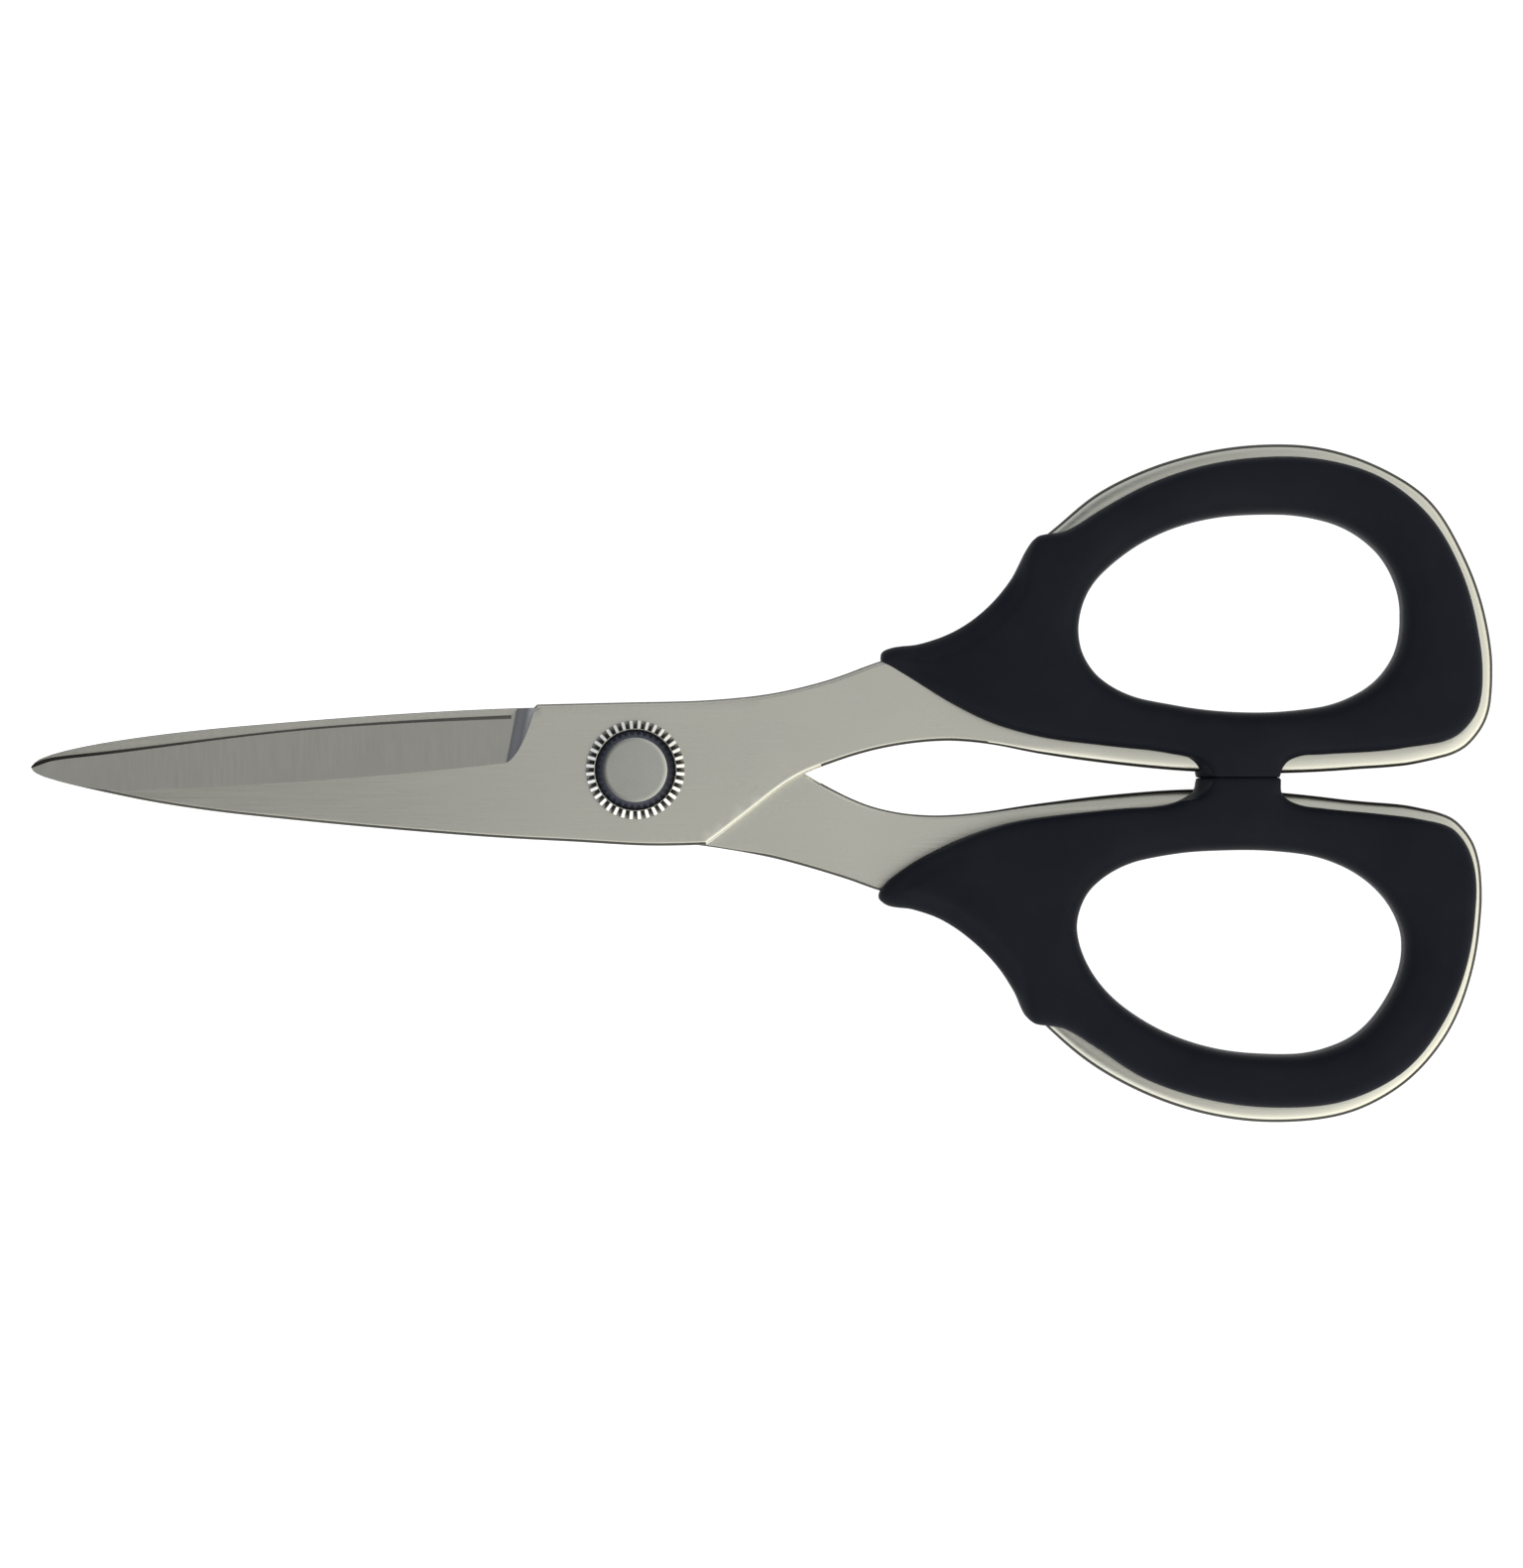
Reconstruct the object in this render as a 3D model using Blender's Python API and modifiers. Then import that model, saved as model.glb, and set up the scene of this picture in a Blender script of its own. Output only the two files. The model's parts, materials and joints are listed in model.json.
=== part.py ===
"""Fabric shears, 150 mm long: two steel blanks that cross at an adjustable pivot, with moulded soft grips.

Run with: blender --background --python part.py

The shears lie flat and closed. +X runs from the tips to the bows, +Y to the upper bow and +Z up through
the pivot. The origin is under the middle of the closed outline, on the surface that they lie on. Plan
outlines are in millimetres from the pivot axis, and heights are from the plane where the blades meet.
"""

import math

import bmesh
import bpy
from mathutils import Matrix, Vector

MM = 0.001
WELD = 1e-6
CORNER = True
ROUND_STEPS = 48
SHARP_ANGLE = math.radians(35)

# Driving dimensions, in millimetres.
PIVOT_X, PIVOT_Y = -12.95, 1.45  # the pivot axis, from the middle of the closed outline
MEETING_Z = 4.5  # height of the plane where the blades meet, over the resting surface
GRIP_THICKNESS = 9.0
BLADE_THICKNESS = 2.1
BLADE_GAP = 0.3  # between the two blanks' inner faces, where the slide washer keeps them apart
BEYOND = 9.0  # a height past both faces of the shears, for cutters that go right through
RUNNING_GAP = 0.1
MOULD_GAP = 0.12  # between a grip and the steel that it is moulded on
BOW_COVER = 2.0  # how far the grip stands in from the steel ring, inside the finger hole
OUTLINE_STEP = 2.2  # longest stretch between the points of an outline
GRIP_ROUNDING = 0.5
NOSE_START_X = 33.5  # where the front of a grip starts to slope down to the blade
NOSE_ANGLE = math.radians(9.5)

# The ground face of each blade.
GRIND_START = (-13.4, 0.66)  # where the ground face meets the flat, at the plunge
GRIND_HEADING = math.radians(183.5)
GRIND_ANGLE = math.radians(16.3)
TAPER_ANGLE = math.radians(1.0)
PLUNGE_RADIUS = 2.4
PLUNGE_LEAN = 0.235  # how far the plunge leans back for each millimetre across the blade
LOWER_GRIND_SHIFT = -0.3  # along Y, of the lower blade's ground face once it is turned over

# The pivot.
BORE_RADIUS = 3.0
BARREL_RADIUS = 2.92
THREAD_RADIUS = 2.0
THREAD_BORE_RADIUS = 2.08
NUT_FACE_RADIUS = 3.3
NUT_RADIUS = 4.15
NUT_HEIGHT = 1.2  # of its flat top over the blade
NUT_RIM = 0.15
LOCK_RING_BORE = 4.25
LOCK_RING_RADIUS = 5.05
LOCK_RING_TEETH = 36
LOCK_RING_BASE = 0.25
LOCK_RING_TOOTH = 0.45
SPRING_SEAT_RADIUS = 4.0
SPRING_SEAT_DEPTH = 0.7
SPRING_STEEL = 0.3
SPRING_RISE = 0.22
SLIDE_WASHER_RADIUS = 5.0
SLIDE_WASHER_THICKNESS = 0.6
SLIDE_RECESS = 0.25  # depth of the washer's seat in each blank
BACK_WASHER_RADIUS = 4.9
BACK_WASHER_THICKNESS = 0.35
SCREW_HEAD_RADIUS = 4.6
SCREW_SLOT_WIDTH = 1.3
SCREW_SLOT_DEPTH = 0.8
SCREW_CHAMFER = 0.35

TOP_FACE = BLADE_GAP / 2 + BLADE_THICKNESS
INNER_FACE = BLADE_GAP / 2

# Plan outlines: (x, y) knots of a smooth closed curve, with CORNER where it turns sharply.
UPPER_BLANK = [
    # cutting edge, from the tip to the plunge
    (-62.2, 0.28), (-61.8, 0.7), (-60.7, 1.13), (-59.0, 1.42), (-56.8, 1.66), (-54.0, 2.0),
    (-44.0, 3.2), (-34.0, 4.3), (-24.0, 5.05),
    (-12.4, 5.65, CORNER),
    # back of the ricasso and the shank, then under the grip
    (-12.2, 6.3, CORNER), (-10.45, 6.35, CORNER), (-10.1, 6.72, CORNER), (0.0, 6.95),
    (8.0, 7.2), (14.0, 7.85), (20.0, 9.3),
    (25.3, 11.2), (30.0, 12.4), (34.5, 14.8), (38.0, 18.6), (40.6, 22.6), (43.6, 25.3),
    # the bow
    (47.0, 28.1), (52.0, 30.7), (57.5, 32.45), (64.0, 33.4), (70.4, 33.1), (76.3, 31.2), (81.3, 28.0),
    (85.2, 21.9), (87.4, 15.5), (88.05, 9.5), (87.3, 4.9), (85.2, 2.25), (81.0, 0.8), (74.0, 0.05),
    (66.0, -0.35), (57.0, -0.15), (49.0, 0.6), (41.0, 1.75), (36.6, 2.6), (32.3, 2.98), (28.4, 2.72),
    (24.0, 1.9), (20.3, 0.75), (17.2, -0.5), (11.3, -4.7), (8.5, -6.85),
    # spine of the blade, back to the tip
    (7.3, -7.7, CORNER), (2.0, -7.8), (-6.0, -7.4), (-14.3, -6.95), (-24.5, -6.15), (-34.6, -5.2),
    (-44.8, -4.05), (-50.0, -3.22), (-53.2, -2.58), (-56.5, -1.86), (-59.8, -1.03),
    (-61.2, -0.56), (-61.95, -0.13),
]
LOWER_BLANK = [
    # spine of the blade, from the tip, then the crossing
    (-62.1, 0.42), (-61.7, 0.9), (-60.7, 1.38), (-59.0, 1.9), (-56.8, 2.4), (-53.2, 3.03),
    (-49.0, 3.62), (-44.8, 4.1), (-34.6, 5.0),
    (-24.5, 5.75), (-14.0, 6.3), (-4.0, 6.55), (4.0, 6.7), (7.2, 6.8, CORNER), (8.5, 6.1),
    (11.3, 4.1), (17.2, -0.2), (20.3, -2.0), (24.0, -3.65), (27.5, -4.45), (31.0, -4.68),
    (35.0, -4.42), (40.5, -3.6), (49.0, -2.55), (57.0, -2.0), (66.0, -2.3), (74.0, -3.15),
    (81.0, -3.95),
    # the bow
    (84.2, -5.0), (86.3, -7.5), (87.15, -11.5), (87.05, -15.5), (86.2, -20.8), (83.6, -27.3),
    (79.6, -32.0), (74.5, -35.0), (66.0, -36.3), (58.0, -35.3), (51.5, -32.95), (46.3, -29.9),
    (43.1, -27.2), (40.2, -24.2), (37.4, -19.6), (33.6, -15.6), (29.4, -13.2),
    # back of the shank and the ricasso, then the cutting edge
    (25.0, -12.4), (22.3, -11.45), (18.3, -10.2), (14.2, -9.1), (10.1, -8.3), (0.0, -7.1),
    (-10.1, -6.72, CORNER), (-10.45, -6.35, CORNER), (-12.2, -6.3, CORNER),
    (-12.4, -5.65, CORNER), (-24.0, -5.05), (-34.0, -4.3), (-44.0, -3.2), (-54.0, -1.8),
    (-58.5, -0.95), (-60.8, -0.35), (-61.85, 0.05),
]
UPPER_GRIP = [
    (25.2, 11.2), (25.25, 12.0), (26.2, 12.5), (28.5, 12.8), (32.5, 14.1), (36.4, 16.9),
    (38.9, 20.0), (40.4, 22.9), (41.2, 23.9), (42.3, 24.2), (43.8, 24.4), (47.0, 26.2),
    (52.0, 29.0), (57.5, 31.0), (64.0, 32.05), (70.4, 31.85), (76.3, 30.1), (81.4, 26.1),
    (84.9, 20.0), (86.5, 13.9), (86.9, 9.6), (86.3, 5.9), (84.4, 3.6), (79.3, 2.3), (70.2, 1.55),
    (68.2, 1.4), (66.8, 0.75), (66.2, -0.2), (66.1, -0.78, CORNER), (57.5, -0.78, CORNER),
    (57.5, 0.3), (56.7, 1.2), (54.9, 1.65), (48.8, 2.4), (41.0, 3.5), (36.6, 4.8), (32.5, 6.8),
    (28.5, 9.25), (26.4, 10.5),
]
UPPER_HOLE = [
    (45.55, 14.5), (46.5, 18.2), (50.1, 22.0), (54.5, 24.5), (59.0, 25.8), (64.0, 26.25),
    (68.6, 26.05), (73.2, 24.7), (76.6, 22.0), (78.5, 18.0), (78.7, 15.0), (78.1, 12.0),
    (76.3, 9.35), (72.5, 7.05), (67.5, 6.1), (62.0, 5.95), (55.0, 6.75), (50.1, 8.0),
    (47.3, 9.9), (45.9, 12.2),
]
LOWER_GRIP = [
    (25.3, -12.2), (24.95, -13.1), (25.7, -13.85), (28.0, -14.25), (31.0, -15.2), (34.5, -17.5),
    (37.6, -20.7), (39.2, -23.3), (40.2, -25.4), (40.9, -26.0), (42.3, -26.25), (43.8, -26.5),
    (46.5, -28.0), (52.0, -31.55), (58.0, -33.65), (66.0, -34.65), (73.0, -33.9), (79.0, -30.8),
    (83.4, -25.0), (85.4, -19.6), (86.15, -14.6), (86.15, -10.5), (85.3, -7.8), (83.8, -6.0),
    (81.0, -5.15), (76.3, -4.5), (70.2, -3.9), (68.2, -3.6), (66.8, -2.95), (66.2, -2.2),
    (66.1, -0.88, CORNER), (57.5, -0.88, CORNER), (57.5, -2.0), (56.4, -2.9), (54.9, -3.5),
    (51.0, -3.9), (44.7, -4.5), (38.6, -5.4), (34.5, -6.65), (30.5, -8.45), (27.0, -10.6),
]
LOWER_HOLE = [
    (45.4, -16.0), (46.5, -12.7), (49.5, -10.25), (54.9, -8.75), (60.5, -8.3), (66.0, -8.4),
    (70.5, -9.1), (74.6, -11.0), (77.3, -13.6), (78.8, -17.0), (78.7, -20.0), (77.2, -23.6),
    (74.2, -27.1), (70.0, -28.9), (64.5, -29.2), (58.6, -28.4), (52.0, -25.6), (48.3, -22.6),
    (46.2, -19.4),
]


def clear_scene():
    for old in list(bpy.data.objects):
        bpy.data.objects.remove(old)


def new_collection(name):
    collection = bpy.data.collections.new(name)
    bpy.context.scene.collection.children.link(collection)
    return collection


def make_material(name, colour, roughness, metallic):
    material = bpy.data.materials.new(name)
    material.use_nodes = True
    shader = material.node_tree.nodes["Principled BSDF"]
    shader.inputs["Base Color"].default_value = (*colour, 1.0)
    shader.inputs["Roughness"].default_value = roughness
    shader.inputs["Metallic"].default_value = metallic
    return material


# Outlines.


def smooth_loop(knots):
    """Points along a closed curve through the knots, at most a step apart, straight between corners."""
    points = [Vector(knot[:2]) for knot in knots]
    corners = [len(knot) > 2 for knot in knots]
    count = len(points)
    chords = [points[(i + 1) % count] - points[i] for i in range(count)]

    def heading(i, chord):
        """Direction of the curve at knot i, for the stretch along the chord on one side of it."""
        if corners[i]:
            return chord.normalized()
        before, after = chords[i - 1], chords[i]
        blended = before.normalized() * after.length + after.normalized() * before.length
        return blended / (before.length + after.length)

    loop = []
    for i, chord in enumerate(chords):
        after = (i + 1) % count
        straight = corners[i] and corners[after]
        pieces = 1 if straight else math.ceil(chord.length / OUTLINE_STEP)
        leave = heading(i, chord) * chord.length
        arrive = heading(after, chord) * chord.length
        for k in range(pieces):
            t = k / pieces
            from_start = points[i] * (2 * t**3 - 3 * t**2 + 1) + leave * (t**3 - 2 * t**2 + t)
            to_end = points[after] * (3 * t**2 - 2 * t**3) + arrive * (t**3 - t**2)
            loop.append(from_start + to_end)
    return loop


def offset_loop(loop, distance):
    """The loop moved sideways: outwards for a positive distance."""
    area = sum(a.cross(b) for a, b in zip(loop, loop[1:] + loop[:1]))
    side = distance if area > 0 else -distance
    moved = []
    for before, point, after in zip(loop[-1:] + loop[:-1], loop, loop[1:] + loop[:1]):
        along = (after - before).normalized()
        moved.append(point + Vector((along.y, -along.x)) * side)
    return moved


# Solids.


def as_mesh_object(obj):
    """The object as its curve settings and modifiers show it: one welded mesh, its origin on the pivot."""
    bpy.context.view_layer.update()
    graph = bpy.context.evaluated_depsgraph_get()
    mesh = bpy.data.meshes.new_from_object(obj.evaluated_get(graph))
    mesh.transform(obj.matrix_world)
    name, collection = obj.name, obj.users_collection[0]
    bpy.data.objects.remove(obj)
    shape = bmesh.new()
    shape.from_mesh(mesh)
    bmesh.ops.remove_doubles(shape, verts=shape.verts, dist=WELD)
    bmesh.ops.recalc_face_normals(shape, faces=shape.faces)
    shape.to_mesh(mesh)
    shape.free()
    made = bpy.data.objects.new(name, mesh)
    collection.objects.link(made)
    return made


def plate(name, loops, low, high, collection, rounding=0.0):
    """A flat plate between two heights. The first loop is its outline, and the others are holes in it."""
    curve = bpy.data.curves.new(name, "CURVE")
    curve.dimensions = "2D"
    curve.fill_mode = "BOTH"
    curve.extrude = ((high - low) / 2 - rounding) * MM
    curve.bevel_depth = rounding * MM
    curve.bevel_resolution = 1
    curve.offset = -rounding * MM
    for loop in loops:
        spline = curve.splines.new("POLY")
        spline.points.add(len(loop) - 1)
        for target, point in zip(spline.points, loop):
            target.co = (point.x * MM, point.y * MM, 0, 1)
        spline.use_cyclic_u = True
    obj = bpy.data.objects.new(name, curve)
    obj.location.z = (low + high) / 2 * MM
    collection.objects.link(obj)
    return as_mesh_object(obj)


def turned(name, profile, collection, steps=ROUND_STEPS):
    """A round piece about the pivot axis. The profile's (radius, height) points run down its outer side."""
    mesh = bpy.data.meshes.new(name)
    corners = [(radius * MM, 0, height * MM) for radius, height in profile]
    edges = [(i, i + 1) for i in range(len(corners) - 1)]
    if profile[0][0] > 0:
        edges.append((len(corners) - 1, 0))
    mesh.from_pydata(corners, edges, [])
    obj = bpy.data.objects.new(name, mesh)
    collection.objects.link(obj)
    screw = obj.modifiers.new("Turn", "SCREW")
    screw.steps = steps
    screw.render_steps = steps
    screw.use_merge_vertices = True
    screw.merge_threshold = WELD
    return as_mesh_object(obj)


def disc_profile(radius, low, high):
    return [(0, high), (radius, high), (radius, low), (0, low)]


def ring_profile(inner, outer, low, high):
    return [(outer, high), (outer, low), (inner, low), (inner, high)]


def box(name, low, high, collection):
    """A box between two corners."""
    bpy.ops.mesh.primitive_cube_add(size=1)
    obj = bpy.context.active_object
    obj.name = name
    for old in list(obj.users_collection):
        old.objects.unlink(obj)
    collection.objects.link(obj)
    low, high = Vector(low) * MM, Vector(high) * MM
    place = Matrix.Translation((low + high) / 2)
    obj.data.transform(place @ Matrix.Diagonal((*(high - low), 1)))
    return obj


def cut(obj, cutter):
    """Takes the cutter's shape out of the object, and keeps the result as the object's own mesh."""
    cutter.hide_render = True
    cutter.display_type = "WIRE"
    modifier = obj.modifiers.new(cutter.name, "BOOLEAN")
    modifier.operation = "DIFFERENCE"
    modifier.object = cutter
    modifier.solver = "EXACT"
    bpy.context.view_layer.update()
    graph = bpy.context.evaluated_depsgraph_get()
    mesh = bpy.data.meshes.new_from_object(obj.evaluated_get(graph))
    obj.modifiers.clear()
    obj.data = mesh


def finish(obj, material, pivot):
    """Gives a piece its material and shading, and hangs it on the pivot, which its origin lies on."""
    obj.data.materials.clear()
    obj.data.materials.append(material)
    obj.data.shade_smooth()
    obj.data.set_sharp_from_angle(angle=SHARP_ANGLE)
    obj.parent = pivot


# The two halves.


def grind_cutter(name, place, cutters):
    """A block that takes off the ground face. Its rounded lower back edge leaves the curved plunge."""
    back, lean = -PLUNGE_RADIUS, -PLUNGE_LEAN
    far, over, across = 62.0, 1.0, 9.0
    corners = ((back - lean * over, over), (far, over), (far, -across), (back + lean * across, -across))
    block = plate(name, [[Vector(corner) for corner in corners]], 0, 2 * PLUNGE_RADIUS, cutters)
    shape = bmesh.new()
    shape.from_mesh(block.data)
    shape.edges.ensure_lookup_table()
    lower_back = min(
        (edge for edge in shape.edges if abs(edge.verts[0].co.z) + abs(edge.verts[1].co.z) < WELD),
        key=lambda edge: edge.verts[0].co.x + edge.verts[1].co.x,
    )
    bmesh.ops.bevel(
        shape, geom=[lower_back], offset=PLUNGE_RADIUS * MM, segments=4, profile=0.5, affect="EDGES"
    )
    shape.to_mesh(block.data)
    shape.free()
    block.matrix_world = place @ (
        Matrix.Translation((GRIND_START[0] * MM, GRIND_START[1] * MM, TOP_FACE * MM))
        @ Matrix.Rotation(GRIND_HEADING, 4, "Z")
        @ Matrix.Rotation(TAPER_ANGLE, 4, "Y")
        @ Matrix.Rotation(GRIND_ANGLE, 4, "X")
    )
    return block


def taper_cutter(name, place, cutters):
    """A block whose underside slopes down towards the tip, so that the blade thins."""
    block = box(name, (-70, -20, 0), (0, 20, 6), cutters)
    block.matrix_world = place @ (
        Matrix.Translation((GRIND_START[0] * MM, 0, TOP_FACE * MM)) @ Matrix.Rotation(-TAPER_ANGLE, 4, "Y")
    )
    return block


def blade(name, outline, hole, turned_over, parts, cutters):
    """One steel blank. The lower one's ground face is the upper one's turned over about the X axis."""
    bow = offset_loop(smooth_loop(hole), BOW_COVER)
    place = Matrix.Identity(4)
    low, high = INNER_FACE, TOP_FACE
    if turned_over:
        place = Matrix.Translation((0, LOWER_GRIND_SHIFT * MM, 0)) @ Matrix.Rotation(math.pi, 4, "X")
        low, high = -TOP_FACE, -INNER_FACE
    blank = plate(name, [smooth_loop(outline), bow], low, high, parts)
    cut(blank, taper_cutter(f"{name}_taper", place, cutters))
    cut(blank, grind_cutter(f"{name}_grind", place, cutters))
    recess = INNER_FACE + SLIDE_RECESS
    cut(blank, turned(f"{name}_bore", disc_profile(BORE_RADIUS, -BEYOND, BEYOND), cutters))
    cut(
        blank,
        turned(f"{name}_recess", disc_profile(SLIDE_WASHER_RADIUS + RUNNING_GAP, -recess, recess), cutters),
    )
    if not turned_over:
        seat = TOP_FACE - SPRING_SEAT_DEPTH
        cut(blank, turned(f"{name}_spring_seat", disc_profile(SPRING_SEAT_RADIUS, seat, BEYOND), cutters))
    return blank


def grip(name, outline, hole, steel_outline, turned_over, parts, cutters):
    """One moulded grip, with its slot for the steel ring and its stop that meets the other grip's."""
    hole_loop = smooth_loop(hole)
    half = GRIP_THICKNESS / 2
    body = plate(name, [smooth_loop(outline), hole_loop], -half, half, parts, GRIP_ROUNDING)
    low, high = INNER_FACE - MOULD_GAP, TOP_FACE + MOULD_GAP
    if turned_over:
        low, high = -high, -low
    steel = [
        offset_loop(smooth_loop(steel_outline), MOULD_GAP),
        offset_loop(hole_loop, BOW_COVER - MOULD_GAP),
    ]
    cut(body, plate(f"{name}_slot", steel, low, high, cutters))
    for side in (1, -1):
        label = "top" if side > 0 else "bottom"
        nose = box(f"{name}_nose_{label}", (-20, -30, 0), (20, 30, BEYOND), cutters)
        flip = Matrix.Rotation(0 if side > 0 else math.pi, 4, "X")
        nose.matrix_world = (
            flip
            @ Matrix.Translation((NOSE_START_X * MM, 0, half * MM))
            @ Matrix.Rotation(-NOSE_ANGLE, 4, "Y")
            @ Matrix.Translation((-20 * MM, 0, 0))
        )
        cut(body, nose)
    return body


# The pivot.


def pivot_nut(parts):
    """A barrel nut: a flat round face, a sloping flank, a flange, and the barrel that both blades turn on."""
    top = TOP_FACE + NUT_HEIGHT
    flange = TOP_FACE + RUNNING_GAP
    profile = [(0, top), (NUT_FACE_RADIUS, top), (NUT_RADIUS, flange + NUT_RIM)]
    profile += [(NUT_RADIUS, flange), (BARREL_RADIUS, flange), (BARREL_RADIUS, -TOP_FACE)]
    profile += [(THREAD_BORE_RADIUS, -TOP_FACE), (THREAD_BORE_RADIUS, TOP_FACE), (0, TOP_FACE)]
    return turned("pivot_nut", profile, parts)


def lock_ring(parts):
    """A ring round the nut with a crown of radial teeth."""
    low = TOP_FACE + RUNNING_GAP
    high = low + LOCK_RING_BASE
    ring = turned(
        "lock_ring", ring_profile(LOCK_RING_BORE, LOCK_RING_RADIUS, low, high), parts, 2 * LOCK_RING_TEETH
    )
    for vertex in ring.data.vertices:
        turn = math.atan2(vertex.co.y, vertex.co.x) / (2 * math.pi)
        on_crest = round(turn * 2 * LOCK_RING_TEETH) % 2 == 0
        if on_crest and vertex.co.z > (low + high) / 2 * MM:
            vertex.co.z += LOCK_RING_TOOTH * MM
    return ring


def spring_washer(parts):
    """A coned spring washer in the upper blade's seat, which takes up play under the nut."""
    low = TOP_FACE - SPRING_SEAT_DEPTH + RUNNING_GAP
    inner, outer = BORE_RADIUS + RUNNING_GAP, SPRING_SEAT_RADIUS - RUNNING_GAP
    profile = [
        (outer, low + SPRING_STEEL),
        (outer, low),
        (inner, low + SPRING_RISE),
        (inner, low + SPRING_RISE + SPRING_STEEL),
    ]
    return turned("spring_washer", profile, parts)


def slide_washer(parts):
    """The nylon washer between the two blanks."""
    half = SLIDE_WASHER_THICKNESS / 2
    profile = ring_profile(BORE_RADIUS + RUNNING_GAP, SLIDE_WASHER_RADIUS, -half, half)
    return turned("slide_washer", profile, parts)


def back_washer(parts):
    """The nylon washer under the screw's head."""
    high = -TOP_FACE - RUNNING_GAP
    low = high - BACK_WASHER_THICKNESS
    profile = ring_profile(BORE_RADIUS + RUNNING_GAP, BACK_WASHER_RADIUS, low, high)
    return turned("back_washer", profile, parts)


def pivot_screw(parts, cutters):
    """The adjusting screw: a low head with a coin slot on the resting side, and a stud up into the nut."""
    bottom = -MEETING_Z
    seat = -TOP_FACE - BACK_WASHER_THICKNESS - 2 * RUNNING_GAP
    stud = TOP_FACE - 2 * RUNNING_GAP
    profile = [
        (0, stud),
        (THREAD_RADIUS - SCREW_CHAMFER, stud),
        (THREAD_RADIUS, stud - SCREW_CHAMFER),
        (THREAD_RADIUS, seat),
        (SCREW_HEAD_RADIUS, seat),
        (SCREW_HEAD_RADIUS, bottom + SCREW_CHAMFER),
        (SCREW_HEAD_RADIUS - SCREW_CHAMFER, bottom),
        (0, bottom),
    ]
    screw = turned("pivot_screw", profile, parts)
    reach = SCREW_HEAD_RADIUS + 1
    half = SCREW_SLOT_WIDTH / 2
    slot = box("screw_slot", (-reach, -half, bottom - 1), (reach, half, bottom + SCREW_SLOT_DEPTH), cutters)
    cut(screw, slot)
    return screw


def main():
    clear_scene()
    parts = new_collection("fabric_shears")
    cutters = new_collection("cutters")
    cutters.hide_render = True

    steel = make_material("blade_steel", (0.62, 0.62, 0.58), 0.32, 1.0)
    bright_steel = make_material("polished_steel", (0.7, 0.7, 0.68), 0.18, 1.0)
    soft_grip = make_material("soft_grip", (0.012, 0.013, 0.02), 0.55, 0.0)
    nylon = make_material("washer_nylon", (0.75, 0.74, 0.7), 0.5, 0.0)

    pivot = bpy.data.objects.new("pivot_axis", None)
    pivot.location = (PIVOT_X * MM, PIVOT_Y * MM, MEETING_Z * MM)
    pivot.empty_display_size = 0.01
    parts.objects.link(pivot)

    pieces = [
        (blade("upper_blade", UPPER_BLANK, UPPER_HOLE, False, parts, cutters), steel),
        (blade("lower_blade", LOWER_BLANK, LOWER_HOLE, True, parts, cutters), steel),
        (grip("upper_grip", UPPER_GRIP, UPPER_HOLE, UPPER_BLANK, False, parts, cutters), soft_grip),
        (grip("lower_grip", LOWER_GRIP, LOWER_HOLE, LOWER_BLANK, True, parts, cutters), soft_grip),
        (pivot_nut(parts), bright_steel),
        (lock_ring(parts), bright_steel),
        (spring_washer(parts), bright_steel),
        (slide_washer(parts), nylon),
        (back_washer(parts), nylon),
        (pivot_screw(parts, cutters), bright_steel),
    ]
    for piece, material in pieces:
        finish(piece, material, pivot)


main()
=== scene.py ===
"""The looks of a pair of fabric shears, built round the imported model.

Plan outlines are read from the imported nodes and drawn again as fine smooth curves. Lengths in this script
are in millimetres from the pivot axis, and heights are from the plane where the blades meet, unless a comment
says metres. place() puts every piece in the row's frame before it rides on its body.
"""

import json
import math

import bmesh
import bpy
import numpy as np
from mathutils import Matrix, Vector
from mathutils.geometry import delaunay_2d_cdt


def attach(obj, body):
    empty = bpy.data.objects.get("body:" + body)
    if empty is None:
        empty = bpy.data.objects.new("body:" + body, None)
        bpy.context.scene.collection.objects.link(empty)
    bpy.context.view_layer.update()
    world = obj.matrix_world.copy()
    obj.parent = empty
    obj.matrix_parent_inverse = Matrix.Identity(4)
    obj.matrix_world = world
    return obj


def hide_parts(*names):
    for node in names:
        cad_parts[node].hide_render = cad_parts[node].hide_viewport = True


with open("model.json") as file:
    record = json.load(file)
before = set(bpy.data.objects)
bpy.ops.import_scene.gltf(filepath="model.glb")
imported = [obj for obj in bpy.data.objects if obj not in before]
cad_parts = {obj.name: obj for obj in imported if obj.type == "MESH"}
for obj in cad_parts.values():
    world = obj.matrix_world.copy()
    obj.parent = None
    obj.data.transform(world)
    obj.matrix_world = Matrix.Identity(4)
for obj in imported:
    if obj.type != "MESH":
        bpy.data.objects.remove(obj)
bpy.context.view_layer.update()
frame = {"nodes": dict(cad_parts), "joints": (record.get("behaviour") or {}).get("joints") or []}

MM = 0.001
PIVOT = Vector(next(joint["pos_m"] for joint in frame["joints"] if joint["name"] == "blade_pivot"))
TO_ROW = Matrix.Translation(PIVOT) @ Matrix.Scale(MM, 4)
TO_PIVOT = TO_ROW.inverted()
TURNED_OVER = Matrix.Rotation(math.pi, 4, "X")
SHARP_ANGLE = math.radians(30)
BLADE_SHARP_ANGLE = math.radians(13)
GRIP_SHARP_ANGLE = math.radians(70)
NUT_SHARP_ANGLE = math.radians(15)
RUNNING_GAP = 0.1
BEYOND = 9.0  # how far a bore's cutter reaches

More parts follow.
